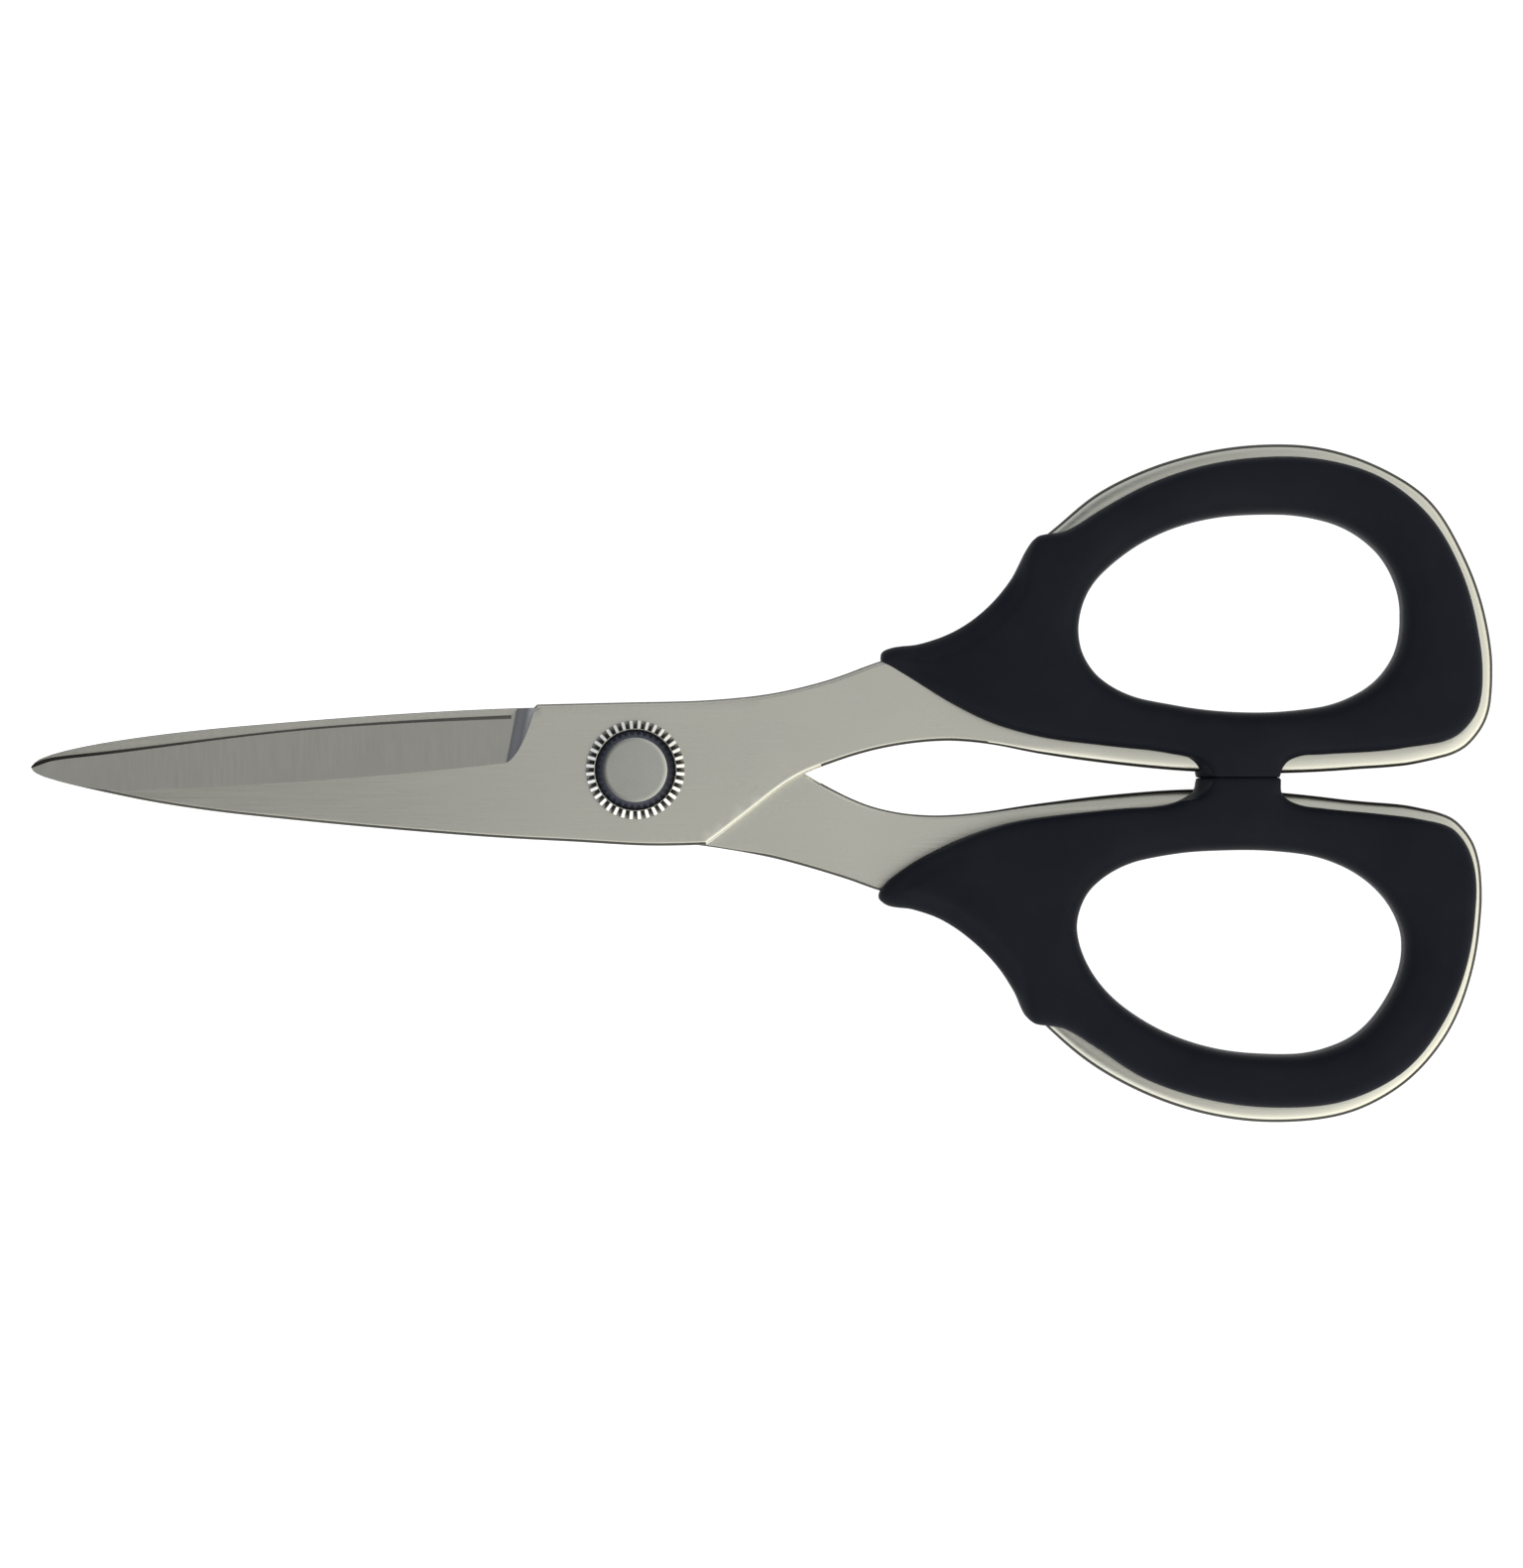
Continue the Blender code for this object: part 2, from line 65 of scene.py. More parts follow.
# Outlines.
FINE_STEP = 0.5  # between the points of a fine outline
CORNER_REACH = 0.25  # a point this near a listed corner stays sharp
STRAIGHT_TURN = math.radians(0.2)
SHORTEST = 0.01
SECTION_WELD = 1e-3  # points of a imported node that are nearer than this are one
BLADE_SECTION = 0.2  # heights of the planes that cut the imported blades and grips
GRIP_SECTION = 2.5

# Blades.
INNER_FACE = 0.15
TOP_FACE = 2.25
EDGE_ROUND = 0.45
SHOULDER_ROUND = 0.5  # where the back of the ricasso turns into the shank
SHOULDER_X = (7.3, 19.0)
SHOULDER_Y = 1.5
TIP_ROUND = 0.2
TIP_BLEND = (-61.8, -59.5)
SPINE_ROUND = 0.22  # of the inner face's rim along the spine
KEEN_ROUND = 0.02  # along the cutting edge
BOW_ROUND_ACROSS = 1.4  # the bows' rims are rounded over further
BOW_ROUND_DOWN = 0.75
BOW_BLEND = (36.0, 48.0)
EDGE_ROUND_STEPS = 8
EDGE_ROUND_AVERAGE = 3  # points on each side that a rim's radius is averaged over
STEEP = 0.84  # upright part of a normal under which a rim's face counts as the blank's side and takes the dark side steel, painted shade
STEEP_BY_Y = 0.1  # it is less at +Y and more at -Y, but not on the bows, so the painted shade is heavier on rims that face -Y
GROUND, KEEN, SIDE, COVE = 1, 2, 3, 4  # a blade's material slots after that of its flats: KEEN, SIDE and COVE carry painted shade, and GROUND's steel is partly painted shade
BLADE_CORNERS = [(-12.4, 5.65), (-12.2, 6.3), (-10.45, 6.35), (-10.1, 6.72), (7.3, -7.7), (7.2, -6.8)]
SHANK_START_X = 12.0  # past this the inner face's rim is rounded like the outer one's
NOTCH_X = -12.35  # where the cutting edge ends
TIP_X = -61.4
GRIND_START = (-13.4, 0.66)
LOWER_GRIND_SHIFT = 0.3
GRIND_HEADING = math.radians(183.5)
GRIND_ANGLE = math.radians(16.3)
TAPER_ANGLE = math.radians(1.0)
TAPER_START_X = -9.0
TAPER_TOTAL = 0.86  # how much thinner the blade is at its tip
TAPER_LENGTH = 53.0
FLAT_STEP = 1.0  # between the points inside the flats of the blade
FLAT_END_X = 12.0
FLAT_MARGIN = 1.0
PLUNGE_RADIUS = 2.4
PLUNGE_LEAN = 0.235
PLUNGE_STEPS = 20
COVE_STEEP = 0.995
SHARP_LEANS = ((-60.0, 0.9), (-15.0, 1.9))  # rise over run of the sharpened face at two places along it
SHARP_START = 0.05  # thickness left at the very edge
SHARP_END_GAP = 0.1
SHARP_OVERRUN = (4.0, 0.2)  # past the tip and past the notch, in steps of the outline
SHARP_REACH = (0.6, -1.2)  # of the sharpening cutter, outwards and inwards
CUT_WELD = 1e-4
SLIDE_SEAT_RADIUS = 5.1
SLIDE_SEAT_TOP = 0.4
SPRING_SEAT_RADIUS = 4.0
SPRING_SEAT_DEPTH = 0.7

# Grips.
GRIP_CORNERS = [(57.5, -0.78), (66.1, -0.78), (57.5, -0.88), (66.1, -0.88)]
GRIP_HALF = 4.5
CELL = 0.3  # of the grid that a grip's surface is found on
FIELD_STEP = 0.2
FIELD_MARGIN = 1.0
TABLE_MARGIN = 1.5
NOSE_START_X = 33.5
NOSE_SOFTNESS = 1.5
NOSE_ANGLE = math.radians(9.5)
OUTLINE_ROUND = 1.1
CONTACT_ROUND = 0.35
HOLE_ROUND = 1.3
HOLE_BULGE = 0.35
FLARE_BEARING = math.radians(48)
FLARE_TURN = (math.radians(50), math.radians(125))  # from the bearing, over which the flare weakens
FLARE_LEAST = 0.15
FLARE_DEPTH = 0.75
FLARE_WIDTH = 2.6
FLARE_WIDENS = 1.6
COVE_X = (26.5, 30.0)  # the hollow along the outer edge of the grip's neck starts here
COVE_END_X = (39.0, 41.0)  # and ends here
COVE_Y = (8.0, 12.0)
COVE_WIDTH = (0.7, 2.4)
COVE_DEPTH = 0.7
CROWN = 0.25
CROWN_REACH = 4.5
STOP_DRAFT = 1.8  # how far the stop's left wall leans in from its middle to its faces
STOP_LEFT_X = 57.5
STOP_BOW = 0.4  # how fast the left wall swings out from the contact
STOP_FOOT = 2.1  # how far up the stop it swings out faster
STOP_FOOT_BOW = 20.0
STOP_BLEND_X = (56.5, 58.5)
STOP_BLEND_END_X = (65.8, 67.5)
STOP_ROUND = 0.4
CONTACT_Y = -0.83
CONTACT_BLEND = (0.5, 1.8)  # distances from the contact over which its softness ends
CONTACT_FILL = 0.045  # how far each stop's soft face gives towards the other
CONTACT_LEAN = 0.05  # how far both faces lean towards +Y at the top

# The pivot.
TURN_STEPS = 128
BORE_RADIUS = 3.0
BARREL_RADIUS = 2.92
THREAD_RADIUS = 2.0
THREAD_BORE_RADIUS = 2.08
NUT_FACE_RADIUS = 3.3
NUT_RADIUS = 4.15
NUT_HEIGHT = 1.2
NUT_RIM = 0.15
NUT_LIP = 0.45  # the soft border of its flat face
NUT_LIP_DROP = 0.035
LIP_STEPS = 6
FLANK_NORMALS = (0.5, 0.9)  # upright parts of the normals of the nut's flank, whose faces take a painted dark reflection
RING_BORE = 4.25
RING_RADIUS = 5.05
RING_TEETH = 36
RING_BASE = 0.25
RING_TOOTH = 0.45
RING_STEPS = 4  # from its bore to its rim
STEPS_A_TOOTH = 16
TOOTH_FLAT = 0.45  # share of the pitch that a tooth's crest takes
TOOTH_FALL = 0.85  # share of its height that a tooth loses outwards
CREST = 0.99  # share of its height above which a tooth takes the painted highlight; below it the faces take painted shade
SPRING_STEEL = 0.3
SPRING_RISE = 0.22
SLIDE_WASHER = 0.6
BACK_WASHER_RADIUS = 4.9
BACK_WASHER = 0.35
SCREW_HEAD_RADIUS = 4.6
SCREW_CHAMFER = 0.35
SCREW_SLOT_WIDTH = 1.3
SCREW_SLOT_DEPTH = 0.8
SCREW_BEVEL = 0.05
WASHER_BEVEL = 0.04

# The studio. Distances are in metres, and the sky's colours go by a direction's height, X and Y.
CAMERA_DISTANCE = 0.8
VIEW_HEIGHT = 0.1609
FLOOR_HALF = 1.5
FLOOR_GLOW = 0.95  # the floor is a lit table
FLOOR_GAP = 0.0001  # keeps it clear of the faces that stand on it
SKY_OVERHEAD = ((0.38, (0.02, 0.02, 0.03)), (0.5, (0.60, 0.60, 0.595)), (0.63, (1.08, 1.07, 1.02)))
SKY_HEIGHTS = (
    (0.0, (0.08, 0.08, 0.08)),
    (0.14, (0.12, 0.12, 0.12)),
    (0.28, (0.6, 0.6, 0.6)),
    (0.42, (1.05, 1.05, 1.05)),
    (0.60, (1.05, 1.05, 1.05)),
    (0.74, (0.7, 0.7, 0.7)),
)
SKY_ACROSS = ((0.0, (0.76, 0.78, 0.82)), (0.5, (1.0, 1.0, 0.97)), (1.0, (1.5, 1.44, 1.29)))
SKY_ALONG = ((0.0, (1.75, 1.72, 1.62)), (0.5, (1.0, 1.0, 1.0)), (1.0, (0.62, 0.625, 0.635)))
OVERHEAD = (0.72, 0.9)  # heights between which the sky overhead takes over


def new_object(name, mesh):
    obj = bpy.data.objects.new(name, mesh)
    bpy.context.scene.collection.objects.link(obj)
    return obj


# Outlines.


def section(node, height):
    """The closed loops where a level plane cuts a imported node, the longest first."""
    solid = bmesh.new()
    solid.from_mesh(frame["nodes"][node].data)
    solid.transform(TO_PIVOT)
    bmesh.ops.remove_doubles(solid, verts=solid.verts, dist=SECTION_WELD)
    geom = solid.verts[:] + solid.edges[:] + solid.faces[:]
    bmesh.ops.bisect_plane(
        solid, geom=geom, plane_co=(0, 0, height), plane_no=(0, 0, 1), clear_inner=True, clear_outer=True
    )
    loops = []
    unused = set(solid.verts)
    while unused:
        here = min(unused, key=lambda vert: tuple(vert.co))
        unused.discard(here)
        loop, previous = [here.co.xy.copy()], None
        while True:
            onward = [edge.other_vert(here) for edge in here.link_edges]
            onward = [vert for vert in onward if vert is not previous and vert in unused]
            if not onward:
                break
            previous, here = here, onward[0]
            unused.discard(here)
            loop.append(here.co.xy.copy())
        if len(loop) > 2:
            loops.append(counter_clockwise(without_straight_points(loop)))
    solid.free()
    return sorted(loops, key=lambda loop: -perimeter(loop))


def perimeter(loop):
    return sum((b - a).length for a, b in zip(loop, loop[1:] + loop[:1]))


def counter_clockwise(loop):
    area = sum(a.cross(b) for a, b in zip(loop, loop[1:] + loop[:1]))
    return loop if area > 0 else loop[::-1]


def without_straight_points(loop):
    loop = [point for point, after in zip(loop, loop[1:] + loop[:1]) if (after - point).length > SHORTEST]
    kept = []
    for before, point, after in zip(loop[-1:] + loop[:-1], loop, loop[1:] + loop[:1]):
        arrive, leave = point - before, after - point
        if arrive.angle(leave) > STRAIGHT_TURN:
            kept.append(point)
    return kept


def smooth_loop(points, corners):
    """A fine closed curve through the points, sharp at those that lie near a listed corner."""
    count = len(points)
    sharp = [any((point - Vector(corner)).length < CORNER_REACH for corner in corners) for point in points]
    chords = [points[(i + 1) % count] - points[i] for i in range(count)]

    def heading(i, chord):
        if sharp[i]:
            return chord.normalized()
        before, after = chords[i - 1], chords[i]
        blended = before.normalized() * after.length + after.normalized() * before.length
        return blended / (before.length + after.length)

    loop = []
    for i, chord in enumerate(chords):
        after = (i + 1) % count
        pieces = max(1, math.ceil(chord.length / FINE_STEP))
        leave = heading(i, chord) * chord.length
        arrive = heading(after, chord) * chord.length
        for k in range(pieces):
            t = k / pieces
            from_start = points[i] * (2 * t**3 - 3 * t**2 + 1) + leave * (t**3 - 2 * t**2 + t)
            to_end = points[after] * (3 * t**2 - 2 * t**3) + arrive * (t**3 - t**2)
            loop.append(from_start + to_end)
    knots = np.array(points)
    return np.clip(loop, knots.min(0), knots.max(0))


def outward_normals(loop):
    """For each point of a counter-clockwise loop, the direction out of it."""
    along = np.roll(loop, -1, 0) - np.roll(loop, 1, 0)
    along /= np.linalg.norm(along, axis=1)[:, None]
    return np.stack([along[:, 1], -along[:, 0]], 1)


def signed_distance(points, loop):
    """How far each point is from a closed loop, negative inside it."""
    nearest = np.full(len(points), np.inf)
    inside = np.zeros(len(points), bool)
    for start, end in zip(loop, np.roll(loop, -1, 0)):
        along = end - start
        reach = points - start
        t = np.clip(reach @ along / (along @ along), 0, 1)
        nearest = np.minimum(nearest, ((reach - t[:, None] * along) ** 2).sum(1))
        if along[1] != 0:
            crosses = (start[1] > points[:, 1]) != (end[1] > points[:, 1])
            inside ^= crosses & (points[:, 0] < start[0] + reach[:, 1] / along[1] * along[0])
    return np.where(inside, -1, 1) * np.sqrt(nearest)


# Mesh building.


def loft(shape, rings):
    """Joins closed rings of points with quads, and gives the first and last rows of vertices."""
    rows = [[shape.verts.new(point) for point in ring] for ring in rings]
    for low, high in zip(rows, rows[1:]):
        for i in range(len(low)):
            j = (i + 1) % len(low)
            shape.faces.new((low[i], low[j], high[j], high[i]))
    return rows[0], rows[-1]


def inner_points(loop):
    """Evenly spaced points well inside the blade's part of a loop."""
    low, high = loop.min(0), loop.max(0)
    rows = []
    for number, y in enumerate(np.arange(low[1], high[1], FLAT_STEP * math.sqrt(0.75))):
        x = np.arange(low[0] + FLAT_STEP / 2 * (number % 2), FLAT_END_X, FLAT_STEP)
        rows.append(np.column_stack([x, np.full(len(x), y)]))
    points = np.vstack(rows)
    return points[signed_distance(points, loop) < -FLAT_MARGIN]


def fill(shape, outline, hole, inside):
    """Closes the flat region between two rows of vertices with triangles, by way of the points inside it."""
    height = outline[0].co.z
    verts = outline + hole + [shape.verts.new((*point, height)) for point in inside]
    edges = []
    for start, row in ((0, outline), (len(outline), hole)):
        edges += [(start + i, start + (i + 1) % len(row)) for i in range(len(row))]
    found = delaunay_2d_cdt([vert.co.xy for vert in verts], edges, [], 1, 1e-7)
    triangles, origins = found[2], found[3]
    corners = [[verts[origins[i][0]] for i in triangle] for triangle in triangles]
    middles = np.array([sum((vert.co.xy for vert in three), Vector((0, 0))) / 3 for three in corners])
    outside = signed_distance(middles, np.array([vert.co.xy for vert in hole])) > 0
    for three, kept in zip(corners, outside):
        if kept:
            shape.faces.new(three)


def as_mesh(name, shape):
    shape.normal_update()
    bmesh.ops.recalc_face_normals(shape, faces=shape.faces)
    mesh = bpy.data.meshes.new(name)
    shape.to_mesh(mesh)
    shape.free()
    return mesh


def turned(name, profile):
    """A round mesh about the pivot axis. The profile's (radius, height) points run down its outer side."""
    shape = bmesh.new()
    turns = [2 * math.pi * k / TURN_STEPS for k in range(TURN_STEPS)]
    rows = []
    for radius, height in profile:
        around = turns if radius > 0 else turns[:1]
        rows.append([shape.verts.new((radius * math.cos(t), radius * math.sin(t), height)) for t in around])
    pairs = list(zip(rows, rows[1:]))
    if profile[0][0] > 0:
        pairs.append((rows[-1], rows[0]))
    for upper, lower in pairs:
        for i in range(TURN_STEPS):
            j = (i + 1) % TURN_STEPS
            corners = [upper[i % len(upper)], lower[i % len(lower)], lower[j % len(lower)]]
            corners.append(upper[j % len(upper)])
            shape.faces.new(dict.fromkeys(corners))
    return as_mesh(name, shape)


def cut(mesh, cutter):
    """The mesh with the cutter's shape taken out. The new faces keep the cutter's material slots."""
    for material in mesh.materials:
        cutter.materials.append(material)
    solid, tool = new_object("solid", mesh), new_object("tool", cutter)
    modifier = solid.modifiers.new("Cut", "BOOLEAN")
    modifier.operation = "DIFFERENCE"
    modifier.object = tool
    modifier.solver = "EXACT"
    bpy.context.view_layer.update()
    graph = bpy.context.evaluated_depsgraph_get()
    result = bpy.data.meshes.new_from_object(solid.evaluated_get(graph))
    for done in (solid, tool):
        bpy.data.objects.remove(done)
    return result


def place(mesh, name, node, body, slot, materials, bevel=0.0, sharp=SHARP_ANGLE):
    """Puts a finished mesh in the row's frame, on its body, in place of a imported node."""
    for material in materials:
        mesh.materials.append(material)
    mesh.transform(TO_ROW)
    mesh.shade_smooth()
    mesh.set_sharp_from_angle(angle=sharp)
    piece = new_object(name, mesh)
    if bevel:
        rounding = piece.modifiers.new("Broken edges", "BEVEL")
        rounding.width = bevel * MM
        rounding.segments = 2
        rounding.limit_method = "ANGLE"
        rounding.angle_limit = SHARP_ANGLE
    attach(piece, body)
    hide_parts(node)
    return piece


# Blades. Each is made with its outer face up and its cutting edge at +Y.


def rim_radii(loop):
    """How the rims round over, across and down, on a blank's inner face and on its outer face."""
    x, y = loop.T
    inner = np.where(x > SHANK_START_X, EDGE_ROUND, SPINE_ROUND)
    on_shoulder = (x > SHOULDER_X[0]) & (x < SHOULDER_X[1]) & (y < SHOULDER_Y)
    outer = np.where(on_shoulder, SHOULDER_ROUND, EDGE_ROUND)
    on_bow = smooth_step(x, *BOW_BLEND)
    cutting = (x < NOTCH_X) & (y > 0)
    radii = []
    for radius in (inner, outer):
        shifts = range(-EDGE_ROUND_AVERAGE, EDGE_ROUND_AVERAGE + 1)
        even = sum(np.roll(radius, shift) for shift in shifts) / len(shifts)
        even = TIP_ROUND + (even - TIP_ROUND) * smooth_step(x, *TIP_BLEND)
        even = np.where(cutting, KEEN_ROUND, even)
        radii.append((even + (BOW_ROUND_ACROSS - even) * on_bow, even + (BOW_ROUND_DOWN - even) * on_bow))
    return radii


def rounded_plate(name, outline, bow, facing):
    """A blank between its outline and its bow's opening, thinner towards its tip, with every rim rounded."""
    shape = bmesh.new()
    quarter = np.linspace(0, math.pi / 2, EDGE_ROUND_STEPS + 1)
    lower_rows, upper_rows = [], []
    for loop, side in ((outline, -1), (bow, 1)):
        inward = outward_normals(loop) * side
        radii = rim_radii(loop) if side < 0 else [(EDGE_ROUND, EDGE_ROUND)] * 2

        def ring(across, down, tilt, face, towards):
            turn = np.arctan2(down * math.sin(tilt), across * math.cos(tilt))
            inset = np.reshape(across * (1 - np.cos(turn)), (-1, 1))
            height = np.broadcast_to(face + towards * down * (1 - np.sin(turn)), len(loop))
            return np.column_stack([loop + inward * inset, height])

        rings = [ring(*radii[0], tilt, INNER_FACE, 1) for tilt in quarter[::-1]]
        rings += [ring(*radii[1], tilt, TOP_FACE, -1) for tilt in quarter]
        low, high = loft(shape, rings)
        lower_rows.append(low)
        upper_rows.append(high)
    shape.normal_update()
    # Steep rim faces take the dark side steel, painted shade standing in for the dark edges; the shoulder is
    # left without it.
    for face in shape.faces:
        middle = face.calc_center_median()
        on_shoulder = SHOULDER_X[0] < middle.x < SHOULDER_X[1] and middle.y < SHOULDER_Y
        level = face.normal.xy.normalized()
        limit = STEEP if middle.x > BOW_BLEND[0] else STEEP - STEEP_BY_Y * facing * level.y
        face.material_index = SIDE if abs(face.normal.z) < limit and not on_shoulder else 0
    inside = inner_points(outline)
    fill(shape, *lower_rows, inside)
    fill(shape, *upper_rows, inside)
    for vert in shape.verts:
        run = max(0.0, TAPER_START_X - vert.co.x) / TAPER_LENGTH
        drop = TAPER_TOTAL * run**2
        vert.co.z -= drop * (vert.co.z - INNER_FACE) / (TOP_FACE - INNER_FACE)
    return as_mesh(name, shape)


def prism(corners, low, high):
    shape = bmesh.new()
    loft(shape, [[(x, y, z) for x, y in corners] for z in (low, high)])
    bmesh.ops.holes_fill(shape, edges=shape.edges)
    bmesh.ops.recalc_face_normals(shape, faces=shape.faces)
    return shape


def grind_cutter():
    """The block that leaves the ground face, with its rounded back edge for the plunge."""
    back, lean = -PLUNGE_RADIUS, -PLUNGE_LEAN
    far, over, across = 62.0, 1.0, 9.0
    corners = ((back - lean * over, over), (far, over), (far, -across), (back + lean * across, -across))
    shape = prism(corners, 0, 2 * PLUNGE_RADIUS)
    lower = [edge for edge in shape.edges if abs(edge.verts[0].co.z) + abs(edge.verts[1].co.z) < 1e-6]
    lower_back = min(lower, key=lambda edge: edge.verts[0].co.x + edge.verts[1].co.x)
    bmesh.ops.bevel(
        shape, geom=[lower_back], offset=PLUNGE_RADIUS, segments=PLUNGE_STEPS, profile=0.5, affect="EDGES"
    )
    for face in shape.faces:
        # The cove of the plunge takes a darker blue-grey steel, painted shade; the ground face takes the
        # ground steel, whose darker tone is painted shade too.
        face.material_index = GROUND if face.normal.z < -COVE_STEEP else COVE
    shape.transform(
        Matrix.Translation((*GRIND_START, TOP_FACE))
        @ Matrix.Rotation(GRIND_HEADING, 4, "Z")
        @ Matrix.Rotation(TAPER_ANGLE, 4, "Y")
        @ Matrix.Rotation(GRIND_ANGLE, 4, "X")
    )
    return as_mesh("grind", shape)


def sharpening_cutter(outline):
    """A strip along the cutting edge that leaves the narrow sharpened face."""
    x, y = outline.T
    on_edge = (x < NOTCH_X - SHARP_END_GAP) & (x > TIP_X) & (y > 0)
    order = np.argsort(x[on_edge])
    points = outline[on_edge][order]
    outward = outward_normals(outline)[on_edge][order]
    first, last = points[0] - points[1], points[-1] - points[-2]
    past_tip, past_notch = SHARP_OVERRUN
    points = np.vstack([points[0] + first * past_tip, points, points[-1] + last * past_notch])
    outward = np.vstack([outward[0], outward, outward[-1]])
    base = INNER_FACE + SHARP_START
    near, far = SHARP_REACH
    shape = bmesh.new()
    rows = []
    for point, away, lean in zip(points, outward, np.interp(points[:, 0], *zip(*SHARP_LEANS))):
        corners = ((near, base - lean * near), (far, base - lean * far), (near, base - lean * far))
        rows.append([shape.verts.new((*(point + away * out), height)) for out, height in corners])
    for row, after in zip(rows, rows[1:]):
        for i in range(3):
            shape.faces.new((row[i], row[(i + 1) % 3], after[(i + 1) % 3], after[i]))
    shape.faces.new(rows[0])
    shape.faces.new(rows[-1])
    for face in shape.faces:
        # The sharpened face takes near-black steel: a painted shadow and painted dark reflection along the
        # cutting edge.
        face.material_index = KEEN
    return as_mesh("sharpening", shape)


def disc(radius, low, high):
    return turned("disc", [(0, high), (radius, high), (radius, low), (0, low)])


def blade(node, name, body, turned_over, materials):
    """A blank bored for the pivot, ground and sharpened. The turned over one has its outer face down."""
    loops = section(node, -BLADE_SECTION if turned_over else BLADE_SECTION)[:2]
    if turned_over:
        loops = [counter_clockwise([Vector((point.x, -point.y)) for point in loop]) for loop in loops]
    outline, bow = (smooth_loop(loop, BLADE_CORNERS) for loop in loops)
    mesh = rounded_plate(name, outline, bow, -1 if turned_over else 1)
    for material in materials:
        mesh.materials.append(material)
    grind = grind_cutter()
    if turned_over:
        grind.transform(Matrix.Translation((0, LOWER_GRIND_SHIFT, 0)))
    mesh = cut(mesh, disc(BORE_RADIUS, -BEYOND, BEYOND))
    mesh = cut(mesh, disc(SLIDE_SEAT_RADIUS, -SLIDE_SEAT_TOP, SLIDE_SEAT_TOP))
    if not turned_over:
        mesh = cut(mesh, disc(SPRING_SEAT_RADIUS, TOP_FACE - SPRING_SEAT_DEPTH, BEYOND))
    mesh = cut(mesh, grind)
    mesh = cut(mesh, sharpening_cutter(outline))
    shape = bmesh.new()
    shape.from_mesh(mesh)
    bmesh.ops.remove_doubles(shape, verts=shape.verts, dist=CUT_WELD)
    shape.to_mesh(mesh)
    shape.free()
    if turned_over:
        mesh.transform(TURNED_OVER)
    piece = place(mesh, name, node, body, "blade_steel", (), sharp=BLADE_SHARP_ANGLE)
    weighted = piece.modifiers.new("Flat faces stay flat", "WEIGHTED_NORMAL")
    weighted.keep_sharp = True


# Grips.


def smooth_step(value, low, high):
    t = np.clip((value - low) / (high - low), 0, 1)
    return t * t * (3 - 2 * t)


def rounded_meeting(wall, cap, radius):
    """Inside both fields, with a round of the given radius where they meet."""
    beyond = np.hypot(np.maximum(wall + radius, 0), np.maximum(cap + radius, 0))
    return np.minimum(np.maximum(wall, cap), -radius) + beyond


def grip_tables(outline, hole, upward):
    """What a grip's shape needs at each place in plan, on a fine grid: see grip_field()."""
    low, high = outline.min(0) - TABLE_MARGIN, outline.max(0) + TABLE_MARGIN
    counts = np.ceil((high - low) / FIELD_STEP).astype(int) + 1
    xs, ys = (low[i] + FIELD_STEP * np.arange(counts[i]) for i in (0, 1))
    x, y = np.meshgrid(xs, ys, indexing="ij")
    points = np.stack([x.ravel(), y.ravel()], 1)
    to_outline = signed_distance(points, outline).reshape(x.shape)
    to_hole = -signed_distance(points, hole).reshape(x.shape)
    side = 1 if upward else -1

    nose_drop = math.tan(NOSE_ANGLE) * soft_ramp(NOSE_START_X - x, NOSE_SOFTNESS)
    centre = (hole.min(0) + hole.max(0)) / 2
    bearing = np.arctan2(y - centre[1], x - centre[0])
    top_flare = flare(-to_hole, bearing, FLARE_BEARING)
    bottom_flare = flare(-to_hole, bearing, -FLARE_BEARING)
    along_neck = smooth_step(x, *COVE_X) * (1 - smooth_step(x, *COVE_END_X))
    on_neck_edge = along_neck * smooth_step(side * y, *COVE_Y)
    cove = COVE_DEPTH * on_neck_edge * (1 - smooth_step(-to_outline, *COVE_WIDTH))
    up_stop = side * (y - CONTACT_Y)
    at_foot = STOP_FOOT_BOW * np.maximum(up_stop - STOP_FOOT, 0) ** 2
    stop_wall = STOP_LEFT_X - x - STOP_BOW * up_stop**2 - at_foot
    on_stop = smooth_step(x, *STOP_BLEND_X) * (1 - smooth_step(x, *STOP_BLEND_END_X))
    at_contact = on_stop * (1 - smooth_step(up_stop, *CONTACT_BLEND))
    from_wall = np.minimum(-to_outline, -to_hole)
    crown = CROWN * (1 - np.clip(from_wall / CROWN_REACH, 0, 1)) ** 2
    return {
        "low": low,
        "outline": to_outline - CONTACT_FILL * at_contact,
        "hole": to_hole,
        "top": GRIP_HALF - nose_drop - top_flare - cove - crown,
        "bottom": GRIP_HALF - nose_drop - bottom_flare - cove,
        "lean": CONTACT_LEAN * side * at_contact,
        "stop": stop_wall,
        "outline_round": OUTLINE_ROUND + (CONTACT_ROUND - OUTLINE_ROUND) * at_contact,
    }


def soft_ramp(value, softness):
    """Zero below zero and the value itself above, with a soft turn between."""
    return softness * np.logaddexp(0, value / softness)


def flare(distance, bearing, towards):
    """How deep a face dips beside the finger hole, on the side that the bearing gives."""
    turn = np.abs((bearing - towards + math.pi) % (2 * math.pi) - math.pi)
    strength = 1 - smooth_step(turn, *FLARE_TURN)
    width = FLARE_WIDTH + FLARE_WIDENS * strength
    return (FLARE_LEAST + FLARE_DEPTH * strength) * (1 - np.clip(distance / width, 0, 1)) ** 2


def look_up(table, low, points):
    """A table's value at each point, straight between its grid places."""
    place = (points[:, :2] - low) / FIELD_STEP
    corner = np.clip(np.floor(place).astype(int), 0, np.array(table.shape) - 2)
    fx, fy = (place - corner).T
    i, j = corner.T
    near = table[i, j] * (1 - fy) + table[i, j + 1] * fy
    far = table[i + 1, j] * (1 - fy) + table[i + 1, j + 1] * fy
    return near * (1 - fx) + far * fx


